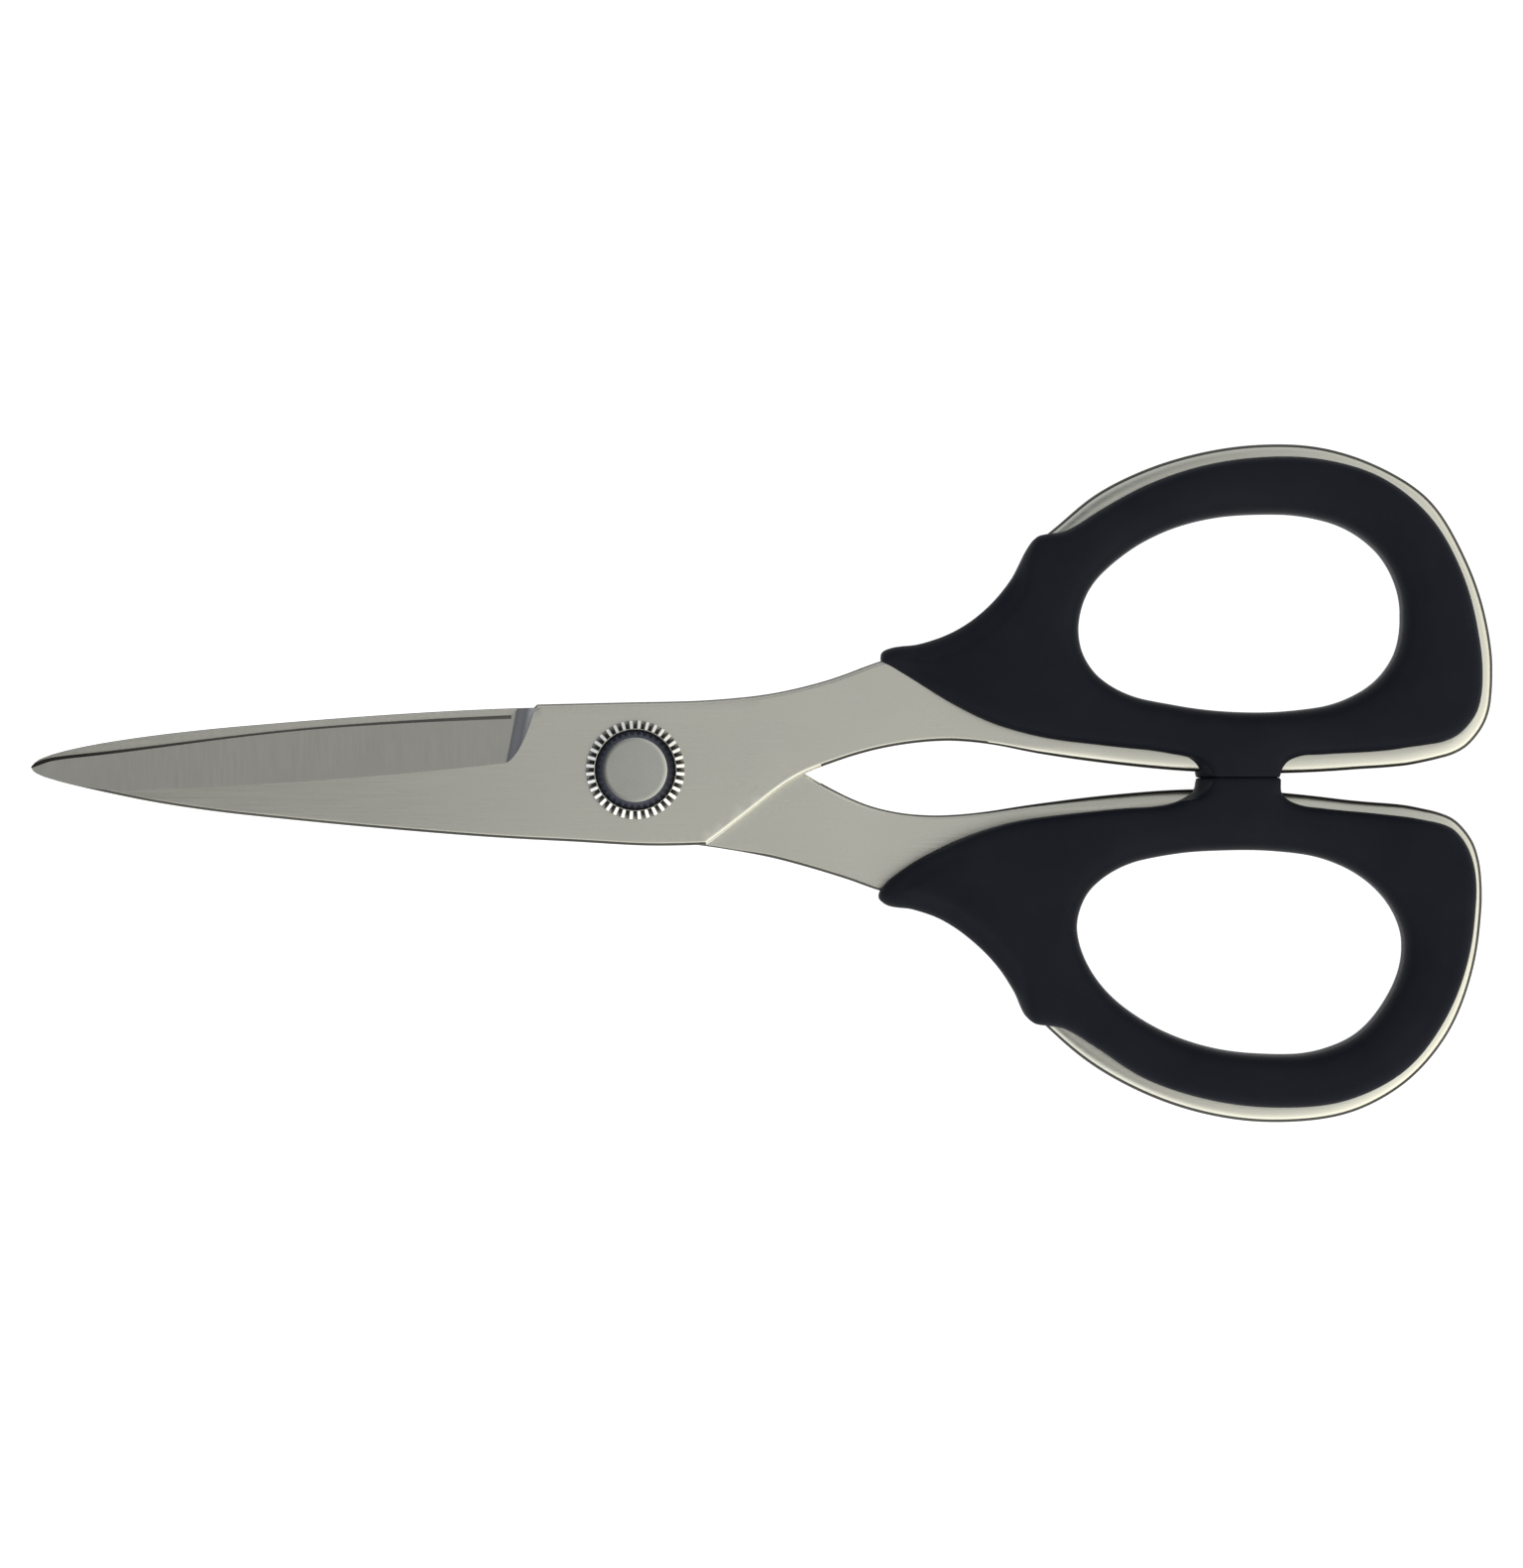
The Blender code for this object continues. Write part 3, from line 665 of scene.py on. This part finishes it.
def grip_field(tables, points):
    """Below zero inside the grip: walls from the outline and the hole, under a top and over a bottom face."""
    found = {name: look_up(table, tables["low"], points) for name, table in tables.items() if name != "low"}
    z = points[:, 2]
    cap = np.maximum(z - found["top"], -z - found["bottom"])
    stop = found["stop"] + STOP_DRAFT * smooth_step(np.abs(z), 0.0, GRIP_HALF)
    leaning = found["outline"] + found["lean"] * z / GRIP_HALF
    wall = rounded_meeting(leaning, stop, STOP_ROUND)
    outside = rounded_meeting(wall, cap, found["outline_round"])
    bulge = HOLE_BULGE * (z / GRIP_HALF) ** 2
    return np.maximum(outside, rounded_meeting(found["hole"] + bulge, cap, HOLE_ROUND))


def surface_of(field, low, high):
    """Quads on the zero surface of a field, one point in each grid cell that it crosses."""
    counts = np.ceil((np.array(high) - low) / CELL).astype(int) + 1
    axes = [low[i] + CELL * np.arange(counts[i]) for i in range(3)]
    grid = np.stack(np.meshgrid(*axes, indexing="ij"), -1).reshape(-1, 3)
    values = field(grid).reshape(counts)
    cells = counts - 1
    total = np.zeros((*cells, 3))
    hits = np.zeros(cells)
    quads = []
    number = np.arange(cells.prod()).reshape(cells)
    for axis in range(3):
        others = [i for i in range(3) if i != axis]
        first = values.take(range(counts[axis] - 1), axis)
        second = values.take(range(1, counts[axis]), axis)
        crossed = (first < 0) != (second < 0)
        fraction = np.where(crossed, first / np.where(crossed, first - second, 1), 0)
        for shift in ((0, 0), (0, 1), (1, 0), (1, 1)):
            window = [slice(None)] * 3
            for other, step in zip(others, shift):
                window[other] = slice(step, step + cells[other])
            here = crossed[tuple(window)]
            hits += here
            total[..., axis] += np.where(here, fraction[tuple(window)], 0)
            for other, step in zip(others, shift):
                total[..., other] += here * step
        inner = [slice(None)] * 3
        for other in others:
            inner[other] = slice(1, counts[other] - 1)
        across = np.argwhere(crossed[tuple(inner)])
        rising = (first < 0)[tuple(inner)][tuple(across.T)]
        corners = []
        for shift in ((0, 0), (1, 0), (1, 1), (0, 1)):
            cell = across.copy()
            for other, step in zip(others, shift):
                cell[:, other] += step
            corners.append(number[tuple(cell.T)])
        quad = np.stack(corners, 1)
        flip = rising if axis == 1 else ~rising
        quad[flip] = quad[flip][:, ::-1]
        quads.append(quad)
    used = hits > 0
    renumber = np.cumsum(used.ravel()) - 1
    where = np.argwhere(used) + total[used] / hits[used][:, None]
    return low + where * CELL, renumber[np.vstack(quads)]


def settle(field, points):
    """Moves each point along the field's slope on to its zero surface."""
    rounds, nudge, least_steepness, longest_move = 4, 0.02, 0.3, 0.15
    for _ in range(rounds):
        here = field(points)
        slope = np.zeros_like(points)
        for axis in range(3):
            step = np.zeros(3)
            step[axis] = nudge
            slope[:, axis] = (field(points + step) - field(points - step)) / (2 * nudge)
        steepness = np.maximum((slope**2).sum(1), least_steepness)
        points = points - slope * np.clip(here / steepness, -longest_move, longest_move)[:, None]
    return points


def grip(node, name, body, upward, material):
    """A soft moulding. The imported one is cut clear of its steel, where its outline is whole."""
    loops = section(node, -GRIP_SECTION if upward else GRIP_SECTION)[:2]
    outline, hole = (smooth_loop(loop, GRIP_CORNERS) for loop in loops)
    tables = grip_tables(outline, hole, upward)

    def field(points):
        return grip_field(tables, points)

    low = np.array([*outline.min(0), -GRIP_HALF]) - FIELD_MARGIN
    high = np.array([*outline.max(0), GRIP_HALF]) + FIELD_MARGIN
    points, quads = surface_of(field, low, high)
    points = settle(field, points)
    mesh = bpy.data.meshes.new(name)
    mesh.from_pydata(points.tolist(), [], quads.tolist())
    place(mesh, name, node, body, "soft_grip", [material], sharp=GRIP_SHARP_ANGLE)


# The pivot.


def nut(materials):
    """The barrel nut: a flat face with a soft border, a sloping flank and a bored barrel. The flank's dark
    blue-grey steel is a painted dark reflection.
    """
    top, flange = TOP_FACE + NUT_HEIGHT, TOP_FACE + RUNNING_GAP
    lip = NUT_FACE_RADIUS - NUT_LIP
    profile = [(0, top), (lip, top)]
    for k in range(1, LIP_STEPS + 1):
        run = k / LIP_STEPS
        profile.append((lip + NUT_LIP * run, top - NUT_LIP_DROP * run**2))
    profile += [(NUT_RADIUS, flange + NUT_RIM), (NUT_RADIUS, flange)]
    profile += [(BARREL_RADIUS, flange), (BARREL_RADIUS, -TOP_FACE)]
    profile += [(THREAD_BORE_RADIUS, -TOP_FACE), (THREAD_BORE_RADIUS, TOP_FACE), (0, TOP_FACE)]
    mesh = turned("barrel_nut", profile)
    for polygon in mesh.polygons:
        # Faces of the flank take the dark steel: painted dark reflection.
        polygon.material_index = int(FLANK_NORMALS[0] < polygon.normal.z < FLANK_NORMALS[1])
    place(mesh, "barrel_nut", "pivot_nut", "upper_half", "pivot_steel", materials, sharp=NUT_SHARP_ANGLE)


def crown_ring(materials):
    """The ring of radial teeth round the nut. Its crown slopes outwards. Its crests carry a painted highlight
    and the rest of it painted shade.
    """
    low = TOP_FACE + RUNNING_GAP
    steps = RING_TEETH * STEPS_A_TOOTH
    shape = bmesh.new()
    radii = np.linspace(RING_BORE, RING_RADIUS, RING_STEPS + 1)
    rings = []
    turns = 2 * math.pi * np.arange(steps) / steps
    phase = np.abs((turns * RING_TEETH / (2 * math.pi)) % 1 - 0.5) * 2
    tooth = np.clip((1 - phase) / (1 - TOOTH_FLAT), 0, 1)
    for radius in (RING_BORE, *radii, RING_RADIUS):
        slope = (radius - RING_BORE) / (RING_RADIUS - RING_BORE)
        crest = RING_BASE + RING_TOOTH * tooth * (1 - TOOTH_FALL * slope)
        rings.append(np.column_stack([radius * np.cos(turns), radius * np.sin(turns), low + crest]))
    rings[0][:, 2] = low
    rings[-1][:, 2] = low
    first, last = loft(shape, rings)
    for i in range(steps):
        j = (i + 1) % steps
        shape.faces.new((first[i], first[j], last[j], last[i]))
    shape.faces.ensure_lookup_table()
    for number, face in enumerate(shape.faces):
        i = number % steps
        # Crest faces take near-white steel, a painted highlight; the rest take darker steel, painted shade.
        face.material_index = int(min(tooth[i], tooth[(i + 1) % steps]) < CREST)
    mesh = as_mesh("crown_ring", shape)
    place(mesh, "crown_ring", "lock_ring", "upper_half", "pivot_steel", materials)


def screw(material):
    """The screw: a stud in the nut's barrel under a slotted head that reaches as low as the grips."""
    bottom = -GRIP_HALF
    seat = -TOP_FACE - BACK_WASHER - 2 * RUNNING_GAP
    stud = TOP_FACE - 2 * RUNNING_GAP
    chamfer = SCREW_CHAMFER
    profile = [(0, stud), (THREAD_RADIUS - chamfer, stud), (THREAD_RADIUS, stud - chamfer)]
    profile += [(THREAD_RADIUS, seat), (SCREW_HEAD_RADIUS, seat), (SCREW_HEAD_RADIUS, bottom + chamfer)]
    profile += [(SCREW_HEAD_RADIUS - chamfer, bottom), (0, bottom)]
    mesh = turned("tension_screw", profile)
    reach, half = SCREW_HEAD_RADIUS + 1, SCREW_SLOT_WIDTH / 2
    corners = ((-reach, -half), (reach, -half), (reach, half), (-reach, half))
    slot = prism(corners, bottom - 1, bottom + SCREW_SLOT_DEPTH)
    mesh = cut(mesh, as_mesh("slot", slot))
    place(mesh, "tension_screw", "pivot_screw", "adjuster", "pivot_steel", [material], SCREW_BEVEL)


def washer(name, node, body, slot, radius, low, thickness, cone, material):
    """A washer with its inner edge raised by the cone."""
    inner = BORE_RADIUS + RUNNING_GAP
    high = low + thickness
    profile = [(radius, high), (radius, low), (inner, low + cone), (inner, high + cone)]
    place(turned(name, profile), name, node, body, slot, [material], WASHER_BEVEL)


# Materials.


def new_material(name):
    material = bpy.data.materials.new(name)
    material.use_nodes = True
    tree = material.node_tree
    return material, tree, tree.nodes["Principled BSDF"]


def scaled_position(tree, scale):
    """Object coordinates from the pivot, in metres times a scale for each axis."""
    coordinates = tree.nodes.new("ShaderNodeTexCoord")
    mapping = tree.nodes.new("ShaderNodeMapping")
    mapping.inputs["Location"].default_value = [-p * s for p, s in zip(PIVOT, scale)]
    mapping.inputs["Scale"].default_value = scale
    tree.links.new(coordinates.outputs["Object"], mapping.inputs["Vector"])
    return mapping.outputs["Vector"]


def noise(tree, vector, detail):
    texture = tree.nodes.new("ShaderNodeTexNoise")
    texture.inputs["Scale"].default_value = 1.0
    texture.inputs["Detail"].default_value = detail
    texture.inputs["Roughness"].default_value = 0.6
    tree.links.new(vector, texture.inputs["Vector"])
    return texture.outputs["Fac"]


def spread(tree, value, low, high):
    """Takes a noise's middle range to a range of its own."""
    node = tree.nodes.new("ShaderNodeMapRange")
    node.inputs["From Min"].default_value = 0.3
    node.inputs["From Max"].default_value = 0.7
    node.inputs["To Min"].default_value = low
    node.inputs["To Max"].default_value = high
    tree.links.new(value, node.inputs["Value"])
    return node.outputs["Result"]


def blend(tree, value, first, second):
    node = tree.nodes.new("ShaderNodeMix")
    node.data_type = "RGBA"
    node.inputs["A"].default_value = (*first, 1)
    node.inputs["B"].default_value = (*second, 1)
    tree.links.new(value, node.inputs["Factor"])
    return node.outputs["Result"]


def bump(tree, value, strength, distance):
    node = tree.nodes.new("ShaderNodeBump")
    node.inputs["Strength"].default_value = strength
    node.inputs["Distance"].default_value = distance * MM
    tree.links.new(value, node.inputs["Height"])
    return node.outputs["Normal"]


def brushed_steel(name, dark, light, roughness, grain, relief):
    """Steel with fine straight grain. The grain's scale is in lines a metre along each axis."""
    material, tree, shader = new_material(name)
    shader.inputs["Metallic"].default_value = 1.0
    lines = noise(tree, scaled_position(tree, grain), 4.0)
    clouds = noise(tree, scaled_position(tree, (60, 110, 110)), 2.0)
    tree.links.new(blend(tree, spread(tree, clouds, 0, 1), dark, light), shader.inputs["Base Color"])
    tree.links.new(spread(tree, lines, roughness - 0.05, roughness + 0.05), shader.inputs["Roughness"])
    tree.links.new(bump(tree, lines, relief, 0.02), shader.inputs["Normal"])
    return material


def turned_steel(name, dark, light, roughness, relief):
    """Polished steel with the rings that a lathe leaves."""
    material, tree, shader = new_material(name)
    shader.inputs["Metallic"].default_value = 1.0
    flat = scaled_position(tree, (9000, 9000, 0))
    length = tree.nodes.new("ShaderNodeVectorMath")
    length.operation = "LENGTH"
    tree.links.new(flat, length.inputs[0])
    rings = tree.nodes.new("ShaderNodeTexNoise")
    rings.noise_dimensions = "1D"
    rings.inputs["Scale"].default_value = 1.0
    rings.inputs["Detail"].default_value = 3.0
    tree.links.new(length.outputs["Value"], rings.inputs["W"])
    clouds = noise(tree, scaled_position(tree, (300, 300, 300)), 2.0)
    tree.links.new(blend(tree, spread(tree, clouds, 0, 1), dark, light), shader.inputs["Base Color"])
    rough = spread(tree, rings.outputs["Fac"], roughness - 0.04, roughness + 0.04)
    tree.links.new(rough, shader.inputs["Roughness"])
    tree.links.new(bump(tree, rings.outputs["Fac"], relief, 0.01), shader.inputs["Normal"])
    return material


def soft_rubber():
    """Matt blue-black elastomer with a fine moulded grain."""
    material, tree, shader = new_material("soft_rubber")
    shader.inputs["Specular IOR Level"].default_value = 0.1
    grain = noise(tree, scaled_position(tree, (7000, 7000, 7000)), 3.0)
    clouds = noise(tree, scaled_position(tree, (130, 130, 130)), 3.0)
    tone = blend(tree, spread(tree, clouds, 0, 1), (0.008, 0.0095, 0.0165), (0.0115, 0.013, 0.020))
    tree.links.new(tone, shader.inputs["Base Color"])
    tree.links.new(spread(tree, grain, 0.52, 0.66), shader.inputs["Roughness"])
    tree.links.new(bump(tree, grain, 0.22, 0.03), shader.inputs["Normal"])
    return material


def nylon():
    """Off-white washer nylon, slightly mottled."""
    material, tree, shader = new_material("washer_nylon")
    clouds = noise(tree, scaled_position(tree, (900, 900, 900)), 3.0)
    tone = blend(tree, spread(tree, clouds, 0, 1), (0.52, 0.51, 0.46), (0.66, 0.65, 0.6))
    tree.links.new(tone, shader.inputs["Base Color"])
    tree.links.new(spread(tree, clouds, 0.42, 0.55), shader.inputs["Roughness"])
    tree.links.new(bump(tree, clouds, 0.15, 0.02), shader.inputs["Normal"])
    return material


# The studio.


def floor():
    shape = bmesh.new()
    bmesh.ops.create_grid(shape, x_segments=1, y_segments=1, size=FLOOR_HALF)
    mesh = bpy.data.meshes.new("floor")
    shape.to_mesh(mesh)
    shape.free()
    material, tree, shader = new_material("pale_floor")
    clouds = noise(tree, scaled_position(tree, (12, 12, 12)), 2.0)
    tone = blend(tree, spread(tree, clouds, 0, 1), (0.39, 0.39, 0.39), (0.41, 0.41, 0.41))
    tree.links.new(tone, shader.inputs["Base Color"])
    shader.inputs["Emission Color"].default_value = (1.0, 1.0, 1.0, 1.0)
    shader.inputs["Emission Strength"].default_value = FLOOR_GLOW
    shader.inputs["Roughness"].default_value = 0.9
    shader.inputs["Specular IOR Level"].default_value = 0.0
    mesh.materials.append(material)
    obj = new_object("floor", mesh)
    obj.location.z = -FLOOR_GAP


def ramp(tree, value, stops):
    node = tree.nodes.new("ShaderNodeValToRGB")
    elements = node.color_ramp.elements
    while len(elements) > 1:
        elements.remove(elements[-1])
    elements[0].position, elements[0].color = stops[0][0], (*stops[0][1], 1)
    for position, colour in stops[1:]:
        elements.new(position).color = (*colour, 1)
    tree.links.new(value, node.inputs["Fac"])
    return node.outputs["Color"]


def mixed(tree, how, factor, first, second):
    node = tree.nodes.new("ShaderNodeMix")
    node.data_type = "RGBA"
    node.blend_type = how
    node.inputs["Factor"].default_value = 1.0
    if factor:
        tree.links.new(factor, node.inputs["Factor"])
    tree.links.new(first, node.inputs["A"])
    tree.links.new(second, node.inputs["B"])
    return node.outputs["Result"]


def between(tree, value, low, high):
    """Takes a range of a value to the range from 0 to 1."""
    node = tree.nodes.new("ShaderNodeMapRange")
    node.inputs["From Min"].default_value = low
    node.inputs["From Max"].default_value = high
    tree.links.new(value, node.inputs["Value"])
    return node.outputs["Result"]


def studio_light():
    """A soft surround: dim overhead, bright at mid height, dark low down, and brighter at +X and -Y."""
    world = bpy.data.worlds.new("studio")
    bpy.context.scene.world = world
    world.use_nodes = True
    tree = world.node_tree
    coordinates = tree.nodes.new("ShaderNodeTexCoord")
    parts = tree.nodes.new("ShaderNodeSeparateXYZ")
    tree.links.new(coordinates.outputs["Generated"], parts.inputs["Vector"])
    height = parts.outputs["Z"]
    across, along = (between(tree, parts.outputs[axis], -1, 1) for axis in ("X", "Y"))
    around = mixed(tree, "MULTIPLY", None, ramp(tree, height, SKY_HEIGHTS), ramp(tree, across, SKY_ACROSS))
    overhead = ramp(tree, across, SKY_OVERHEAD)
    sky = mixed(tree, "MIX", between(tree, height, *OVERHEAD), around, overhead)
    sky = mixed(tree, "MULTIPLY", None, sky, ramp(tree, along, SKY_ALONG))
    tree.links.new(sky, tree.nodes["Background"].inputs["Color"])


def camera():
    """Straight above the middle of the outline, far enough off to look almost flat."""
    data = bpy.data.cameras.new("camera")
    data.sensor_fit = "VERTICAL"
    data.sensor_height = 24.0
    data.lens = data.sensor_height * CAMERA_DISTANCE / VIEW_HEIGHT
    obj = bpy.data.objects.new("camera", data)
    obj.location = (0, 0, CAMERA_DISTANCE + (PIVOT.z + TOP_FACE * MM))
    bpy.context.scene.collection.objects.link(obj)
    bpy.context.scene.camera = obj


steel = brushed_steel(
    "brushed_steel", (0.635, 0.64, 0.585), (0.665, 0.665, 0.605), 0.3, (120, 5200, 900), 0.035
)
# The ground face's grain and roughness are its own finish; its tone, darker than the flats', is painted
# shade.
ground = brushed_steel(
    "ground_steel_painted_shade", (0.505, 0.50, 0.464), (0.532, 0.525, 0.49), 0.36, (5200, 160, 900), 0.05
)
# Near-black steel for the sharpened face: painted shadow and painted dark reflection.
keen_painted_shadow = brushed_steel(
    "sharpened_steel_painted_shadow", (0.025, 0.022, 0.02), (0.04, 0.037, 0.034), 0.3, (150, 6500, 900), 0.04
)
# Painted shade on the blanks' steep rim faces.
side = brushed_steel("side_steel_painted_shade", (0.07, 0.07, 0.067), (0.10, 0.098, 0.093), 0.42, (200, 200, 5200), 0.08)
# Darker blue-grey steel for the plunge's cove: painted shade.
cove = brushed_steel("cove_steel_painted_shade", (0.20, 0.205, 0.225), (0.24, 0.245, 0.265), 0.4, (900, 5200, 900), 0.04)
face = turned_steel("turned_steel", (0.52, 0.53, 0.49), (0.56, 0.57, 0.53), 0.24, 0.04)
# Dark blue-grey steel for the nut's flank: painted dark reflection.
flank = turned_steel("flank_steel_painted_reflection", (0.08, 0.085, 0.115), (0.11, 0.115, 0.15), 0.42, 0.05)
# Painted shade for the crown ring's valleys and tooth sides.
dark = turned_steel("valley_steel_painted_shade", (0.17, 0.17, 0.165), (0.22, 0.22, 0.21), 0.4, 0.05)
# Near-white steel: a painted highlight on the crown ring's crests, also used as the cone spring's steel.
bright = turned_steel("crest_highlight_and_spring_steel", (0.86, 0.86, 0.84), (0.92, 0.92, 0.90), 0.16, 0.05)
rubber = soft_rubber()
plastic = nylon()

blade("upper_blade", "upper_steel", "upper_half", False, (steel, ground, keen_painted_shadow, side, cove))
blade("lower_blade", "lower_steel", "lower_half", True, (steel, ground, keen_painted_shadow, side, cove))
grip("upper_grip", "upper_moulding", "upper_half", True, rubber)
grip("lower_grip", "lower_moulding", "lower_half", False, rubber)
nut((face, flank))
crown_ring((bright, dark))
screw(face)
spring_radius = SPRING_SEAT_RADIUS - RUNNING_GAP
spring_low = TOP_FACE - SPRING_SEAT_DEPTH + RUNNING_GAP
washer(
    "cone_spring", "spring_washer", "upper_half", "pivot_steel",
    spring_radius, spring_low, SPRING_STEEL, SPRING_RISE, bright,
)
slide_radius = SLIDE_SEAT_RADIUS - RUNNING_GAP
washer(
    "slide_shim", "slide_washer", "lower_half", "washer_nylon",
    slide_radius, -SLIDE_WASHER / 2, SLIDE_WASHER, 0, plastic,
)
back_low = -TOP_FACE - RUNNING_GAP - BACK_WASHER
washer(
    "back_shim", "back_washer", "lower_half", "washer_nylon",
    BACK_WASHER_RADIUS, back_low, BACK_WASHER, 0, plastic,
)

floor()
studio_light()
camera()
bpy.context.scene.view_settings.view_transform = "Standard"
